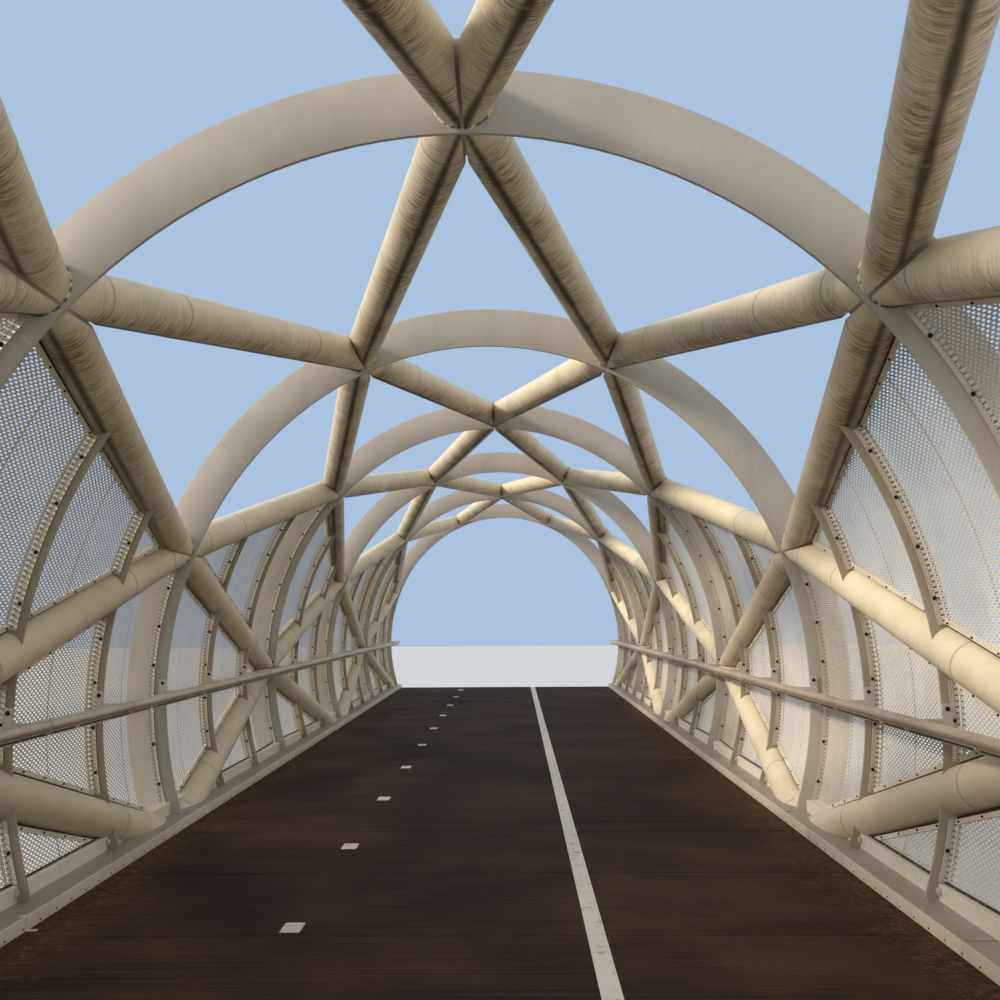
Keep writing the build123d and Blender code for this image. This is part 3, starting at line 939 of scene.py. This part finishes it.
def makeRail():
    full, half, slope = rail["radius"], rail["gap"] / 2, rail["gapSlope"]
    ending, deep = rail["endRound"], rail["radius"] - rail["gapDeep"]
    stations = [(-endY, full - ending), (-endY + ending, full)]
    for place in ribPlaces[:-1]:
        middle = place + rail["pastRib"]
        stations += [(middle - half, full), (middle - half + slope, deep),
                     (middle + half - slope, deep), (middle + half, full)]
    bm = tube(stations + [(endY - ending, full), (endY, full - ending)], rail["sides"])
    turnBy(bm, Matrix.Rotation(-pi / 2, 3, "X"))
    moveBy(bm, (railX, 0, railZ))
    fillEnds(bm)
    return bm


rails = bmesh.new()
for side in (-1, 1):
    mergeOnSide(rails, makeRail(), side)
bmesh.ops.recalc_face_normals(rails, faces=rails.faces)
finishPiece("handrail_tubes", rails, [railSteel], "rail_steel", "handrails")

# A slotted channel below each handrail, in one short and one long length between two ribs
channel = {"wide": 0.036, "tall": 0.024, "intoRail": 0.004, "fromNear": 0.075, "pastFar": 0.035,
           "lastShort": 0.020, "shortLength": 0.36, "gap": 0.04, "edgeRound": 0.0015,
           "slotInset": 0.005, "slotSlope": 0.0008, "slotDeep": 0.006, "sideArea": 0.003}
channels = bmesh.new()
channelTop = railZ - rail["radius"] + channel["intoRail"]
for near, far in zip(ribPlaces, ribPlaces[1:]):
    start = near + channel["fromNear"]
    finish = far + (channel["pastFar"] if far < ribPlaces[-1] else -channel["lastShort"])
    split = start + channel["shortLength"]
    for side in (-1, 1):
        for first, last in ((start, split), (split + channel["gap"], finish)):
            length = box((railX - channel["wide"] / 2, first, channelTop - channel["tall"]),
                         (railX + channel["wide"] / 2, last, channelTop), channel["edgeRound"])
            sides = [f for f in length.faces
                     if abs(f.normal.x) > 0.9 and f.calc_area() > channel["sideArea"]]
            bmesh.ops.inset_individual(length, faces=sides, thickness=channel["slotInset"], depth=0.0)
            bmesh.ops.inset_individual(length, faces=sides, thickness=channel["slotSlope"],
                                       depth=-channel["slotDeep"])
            # the floors of the slots take the dark rubber colour: painted shade in the slots
            for face in sides:
                face.material_index = 1
            mergeOnSide(channels, length, side)
finishPiece("rail_channel_lengths", channels, [railChannel, rubberAndShade], "rail_channel", "rail_channels")


# Brackets: a plate with rounded corners on each rib or ring plate, and an arm out to the rail
bracket = {
    "tall": 0.226,
    "deep": 0.058,
    "thick": 0.010,
    "corner": 0.012,
    "lap": 0.002,  # inside the rib's edge
    "armTall": 0.050,
    "armThin": 0.001,  # on either face of the arm
    "armInto": 0.020,  # from the rail's middle
    "armPast": 0.010,
    "armRound": 0.001,
    "boltOut": 0.028,
    "boltUp": 0.082,
    "washer": (0.015, 0.004),  # radius and height
    "nut": (0.009, 0.013),
}
brackets, bracketBolts = bmesh.new(), bmesh.new()
for index, y in enumerate(ribPlaces):
    onRing = index % thirds == 0
    half = (bridge["plateThick"] if onRing else bridge["ribThick"]) / 2
    inner = 0.0 if onRing else rib["free"]
    edgeX = ovalPoint(inner, angleAtHeight(inner, railZ)).x
    backY = y - half if index else y + half + bracket["thick"]
    frontY = backY - bracket["thick"]
    plateHalf, armHalf = bracket["tall"] / 2, bracket["armTall"] / 2
    for side in (-1, 1):
        plate = box((edgeX - bracket["lap"], frontY, railZ - plateHalf),
                    (edgeX + bracket["deep"], backY, railZ + plateHalf))
        roundEdges(plate, edgesAlong(plate.edges, 1), bracket["corner"], 4)
        arm = box((railX + bracket["armInto"], frontY + bracket["armThin"], railZ - armHalf),
                  (edgeX + bracket["armPast"], backY - bracket["armThin"], railZ + armHalf),
                  bracket["armRound"])
        for up in (-1, 1):
            place = (side * (edgeX + bracket["boltOut"]), frontY, railZ + up * bracket["boltUp"])
            for radius, height in (bracket["washer"], bracket["nut"]):
                addBolt(bracketBolts, place, (0, -1, 0), radius, height)
        for piece in (plate, arm):
            mergeOnSide(brackets, piece, side)
finishPiece("bracket_plates", brackets, [bracketPaint], "rib_paint", "rail_brackets")
finishPiece("bracket_bolts", bracketBolts, [boltSteel], "bearing_steel")
print("handrails made")


# Deck panels with joints across them
deck = {"jointFirst": 0.93, "jointWide": 0.008, "jointDeep": 0.006, "endGap": 0.003, "edgeRound": 0.003}
deckLow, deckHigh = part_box("deck_panels")
panels = bmesh.new()
for bay in range(bridge["bays"]):
    slab = box((deckLow.x, ringY[bay] + deck["endGap"], deckLow.z),
               (deckHigh.x, ringY[bay + 1] - deck["endGap"], deckHigh.z), deck["edgeRound"])
    for third in range(thirds):
        joint = ringY[bay] + deck["jointFirst"] + third * ribStep
        half = deck["jointWide"] / 2
        splitAcross(slab, (0, joint - half, 0), (0, 1, 0))
        splitAcross(slab, (0, joint + half, 0), (0, 1, 0))
        top = [f for f in slab.faces if f.normal.z > 0.9 and abs(f.calc_center_median().y - joint) < half]
        drawFaces(slab, top, (0, 0, -deck["jointDeep"]))
    mergeInto(panels, slab)
finishPiece("deck_slabs", panels, [deckCoating], "deck_coating", "deck_panels")
print("deck made")


# Kerbs: bars in lengths, with small bolts low down, joints in the ledges behind them and one loose tab
kerb = {"length": 2.66, "first": -9.835, "least": 0.3, "gap": 0.006, "edgeRound": 0.003,
        "boltUp": 0.016, "boltStep": 0.20, "boltFirst": 0.08, "boltEnd": 0.05, "boltRadius": 0.006,
        "boltHeight": 0.004, "boltProud": 0.0004, "ledgeShort": 0.060, "jointProud": 0.0006,
        "jointDeep": 0.001}
kerbLow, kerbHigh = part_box("kerb_bars")
kerbInner = deckHigh.x
kerbs, kerbBolts, ledgeJoints = bmesh.new(), bmesh.new(), bmesh.new()
cuts = [-endY]
place = kerb["first"]
while place < endY - kerb["least"]:
    cuts.append(place)
    place += kerb["length"]
cuts.append(endY)
halfGap = kerb["gap"] / 2
for near, far in zip(cuts, cuts[1:]):
    low = (kerbInner, near + (halfGap if near > -endY else 0), kerbLow.z)
    high = (kerbHigh.x, far - (halfGap if far < endY else 0), kerbHigh.z)
    mergeBoxPair(kerbs, low, high, kerb["edgeRound"], 2)
y = -endY + kerb["boltFirst"]
while y < endY - kerb["boltEnd"]:
    for side in (-1, 1):
        place = (side * (kerbInner + kerb["boltProud"]), y, deckTop + kerb["boltUp"])
        addBolt(kerbBolts, place, (-side, 0, 0), kerb["boltRadius"], kerb["boltHeight"])
    y += kerb["boltStep"]
for place in cuts[1:-1]:
    mergeBoxPair(ledgeJoints, (kerbHigh.x, place - halfGap, ledgeTop - kerb["jointDeep"]),
                 (sillOuter - kerb["ledgeShort"], place + halfGap, ledgeTop + kerb["jointProud"]))
finishPiece("ledge_joints", ledgeJoints, [rubberAndShade], "kerb_paint")

# a loose tab bent over the near left kerb, down to the deck
tab = {"near": -6.75, "width": 0.035, "back": 0.030, "foot": 0.060, "thick": 0.003, "proud": 0.004}
tabNear, tabFar = tab["near"], tab["near"] + tab["width"]
tabFace = kerbInner - tab["proud"]
for low, high in (((tabFace, tabNear, kerbHigh.z),
                   (kerbHigh.x + tab["back"], tabFar, kerbHigh.z + tab["thick"])),
                  ((tabFace, tabNear, deckTop + tab["thick"]), (kerbInner, tabFar, kerbHigh.z)),
                  ((kerbInner - tab["foot"], tabNear, deckTop),
                   (kerbInner, tabFar, deckTop + tab["thick"]))):
    mergeOnSide(kerbs, box(low, high), -1)
finishPiece("kerb_lengths", kerbs, [kerbPaint], "kerb_paint", "kerb_bars")
finishPiece("kerb_bolts", kerbBolts, [boltSteel], "bearing_steel")
print("kerbs made")


# Sills are folded plates: the face stands in front of the sheets and the top runs back to them
sill = {"front": 0.055, "thick": 0.004, "endGap": 0.005, "foldRound": 0.003}
sillFace = sillOuter - sill["front"]
sheetFar = ovalPoint(sheet["ringOffset"], angleAtHeight(sheet["ringOffset"], sillTop)).x


def makeFacing():
    endAt, foldZ = endY - sill["endGap"], sillTop - sill["thick"]
    bm = box((sillFace, -endAt, ledgeTop), (sillFace + sill["thick"], endAt, sillTop))
    splitAcross(bm, (0, 0, foldZ), (0, 0, 1))
    top = [f for f in bm.faces if f.normal.x > 0.9 and f.calc_center_median().z > foldZ]
    drawFaces(bm, top, (sheetFar - sillFace, 0, 0))
    fold = [e for e in sharpEdges(bm) if all(abs(v.co.x - sillFace) < 1e-5 and abs(v.co.z - sillTop) < 1e-5
                                             for v in e.verts)]
    roundEdges(bm, fold, sill["foldRound"], 3)
    return bm


facings = bmesh.new()
for side in (-1, 1):
    mergeOnSide(facings, makeFacing(), side)
bmesh.ops.recalc_face_normals(facings, faces=facings.faces)
finishPiece("sill_facings", facings, [sillPaint], "kerb_paint")


# Clamp strips with screws on top of the sills, and blocks at the ribs' feet
clamp = {
    "tall": 0.012,
    "deep": 0.014,
    "sunk": 0.002,
    "edgeRound": 0.001,
    "sheetGap": 0.004,
    "endGap": 0.004,
    "barFoot": 0.97,  # the lowest bars come down to the sill at the even rings, and the strip stops there
    "screwStep": 0.24,
    "screwRadius": 0.0045,
    "screwHeight": 0.004,
    "blockLong": 0.030,
    "blockTall": 0.034,
    "blockDeep": 0.024,
    "blockBelow": 0.052,
    "blockRound": 0.003,
}


def makeStrip(nearY, farY, edge):  # edge holds the strip's outer side at its two ends
    base = min(edge)
    bm = box((base - clamp["deep"], nearY, sillTop - clamp["sunk"]),
             (base, farY, sillTop + clamp["tall"]), clamp["edgeRound"])
    for vert in bm.verts:
        share = (vert.co.y - nearY) / (farY - nearY)
        vert.co.x += edge[0] + (edge[1] - edge[0]) * share - base
    return bm


clamps, screws, blocks = bmesh.new(), bmesh.new(), bmesh.new()
for bay in range(bridge["bays"]):
    for third in range(thirds):
        nearY, farY = panelLimits(bay, third, clamp["endGap"])
        if third == 0 and bay % 2 == 0:
            nearY += clamp["barFoot"]
        if third == thirds - 1 and bay % 2:
            farY -= clamp["barFoot"]
        edge = [ovalPoint(sheetOffset(y) - clamp["sheetGap"], angleAtHeight(sheetOffset(y), sillTop)).x
                for y in (nearY, farY)]
        count = int((farY - nearY) / clamp["screwStep"])
        for side in (-1, 1):
            mergeOnSide(clamps, makeStrip(nearY, farY, edge), side)
            for i in range(count):
                share = (i + 0.5) / count
                x = edge[0] + (edge[1] - edge[0]) * share - clamp["deep"]
                addBolt(screws, (side * x, nearY + (farY - nearY) * share, sillTop + clamp["tall"] / 2),
                        (-side, 0, 0), clamp["screwRadius"], clamp["screwHeight"])
        if third < thirds - 1:
            base, last = sillTop - clamp["blockBelow"], farY - clamp["endGap"]
            mergeBoxPair(blocks, (sillFace - clamp["blockDeep"], last - clamp["blockLong"], base),
                         (sillFace, last, base + clamp["blockTall"]), clamp["blockRound"], 2)
finishPiece("clamp_strips", clamps, [rubberAndShade], "kerb_paint")
finishPiece("clamp_screws", screws, [railSteel], "rail_steel")
finishPiece("foot_blocks", blocks, [bracketPaint], "bearing_steel")
print("sills and clamp strips made")


# Markings on the deck
marking = {"thick": 0.0015, "corner": 0.008, "endGap": 0.01, "solidX": 0.660, "solidWidth": 0.10,
           "dashX": -0.995, "dashLength": 0.175, "dashWidth": 0.11, "dashStep": 1.94, "dashStart": -10.57,
           "dashEnd": 0.2}


def flatPatch(x, y, width, length):
    bm = box((x - width / 2, y - length / 2, deckTop),
             (x + width / 2, y + length / 2, deckTop + marking["thick"]))
    roundEdges(bm, edgesAlong(bm.edges, 2), marking["corner"], 2)
    return bm


markings = bmesh.new()
mergeInto(markings, flatPatch(marking["solidX"], 0, marking["solidWidth"],
                              2 * (endY - marking["endGap"])))
y = marking["dashStart"]
while y < endY - marking["dashEnd"]:
    mergeInto(markings, flatPatch(marking["dashX"], y, marking["dashWidth"], marking["dashLength"]))
    y += marking["dashStep"]
finishPiece("deck_markings", markings, [linePaint], "deck_coating")
print("markings made")


# Nodes kept from the solid model
kept = {
    "deck_stringers": beamPaint,
    "beam_webs": beamPaint,
    "beam_flanges": beamPaint,
    "kerb_ledges": ledgePaint,
    "screen_sills": sillPaint,
    "bearing_saddles": bearingPaint,
    "bearing_plates": bearingPaint,
}
for name, material in kept.items():
    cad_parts[name].data.materials.clear()
    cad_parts[name].data.materials.append(material)


# Floor, light and camera
stage = {"floor": "#BCC0C4", "floorHalf": 120, "backdrop": "#A9C3E0", "ambientColour": "#F4F6FA",
         "ambient": 0.86, "sun": 3.7, "sunColour": (1.0, 0.90, 0.77), "sunAngle": 10, "sunHeight": 27,
         "sunTurn": -106}


def addToScene(name, data):
    thing = bpy.data.objects.new(name, data)
    bpy.context.scene.collection.objects.link(thing)
    return thing


def makeFloor():
    material, tree = newMaterial("studio_floor")
    shader = addNode(tree, "BsdfPrincipled", {
        "Base Color": toLinear(stage["floor"]), "Roughness": 0.9})
    finishMaterial(material, shader.outputs["BSDF"])
    bm = bmesh.new()
    bmesh.ops.create_grid(bm, x_segments=1, y_segments=1, size=stage["floorHalf"])
    mesh = bpy.data.meshes.new("floor")
    bm.to_mesh(mesh)
    bm.free()
    mesh.materials.append(material)
    floorPiece = addToScene("floor", mesh)


def makeWorld():
    world = bpy.data.worlds.new("studio")
    bpy.context.scene.world = world
    world.use_nodes = True
    tree = world.node_tree
    tree.nodes.clear()
    # the camera sees the backdrop's colour, and the object is lit by the plain ambient one
    path = addNode(tree, "LightPath").outputs
    seen = maths(tree, "ADD", path["Is Camera Ray"], path["Is Glossy Ray"])
    seen = addNode(tree, "Math", {0: seen, 1: path["Is Transmission Ray"]}, operation="ADD", use_clamp=True)
    ambient = addNode(tree, "Background", {"Color": toLinear(stage["ambientColour"]),
                                           "Strength": stage["ambient"]})
    backdrop = addNode(tree, "Background", {"Color": toLinear(stage["backdrop"]), "Strength": 1.0})
    mixed = addNode(tree, "MixShader", {0: seen.outputs[0], 1: ambient.outputs[0], 2: backdrop.outputs[0]})
    addNode(tree, "OutputWorld", {"Surface": mixed.outputs[0]})


def makeSun():
    sun = bpy.data.lights.new("soft_sun", "SUN")
    sun.energy = stage["sun"]
    sun.angle = radians(stage["sunAngle"])
    sun.color = stage["sunColour"]
    turn, height = radians(stage["sunTurn"]), radians(stage["sunHeight"])
    towardsSun = Vector((sin(turn) * cos(height), cos(turn) * cos(height), sin(height)))
    addToScene("soft_sun", sun).rotation_euler = towardsSun.to_track_quat("Z", "Y").to_euler()


view = {"place": (0.234, -12.393, 4.103), "yaw": -0.0134, "pitch": 0.1142, "roll": -0.0059,
        "lens": 36.0, "sensor": 36.0, "nearest": 0.05}


def makeCamera():
    yaw, pitch, roll = view["yaw"], view["pitch"], view["roll"]
    ahead = Vector((sin(yaw) * cos(pitch), cos(yaw) * cos(pitch), sin(pitch)))
    right = Vector((cos(yaw), -sin(yaw), 0))
    up = right.cross(ahead)
    camera = bpy.data.cameras.new("camera")
    camera.lens = view["lens"]
    camera.sensor_width = view["sensor"]
    camera.clip_start = view["nearest"]
    cameraObject = addToScene("camera", camera)
    turned = Matrix((cos(roll) * right + sin(roll) * up, cos(roll) * up - sin(roll) * right,
                     -ahead)).transposed()
    cameraObject.matrix_world = Matrix.Translation(view["place"]) @ turned.to_4x4()
    bpy.context.scene.camera = cameraObject


makeFloor()
makeWorld()
makeSun()
makeCamera()
bpy.context.scene.view_settings.view_transform = "Standard"

print("stage ready")
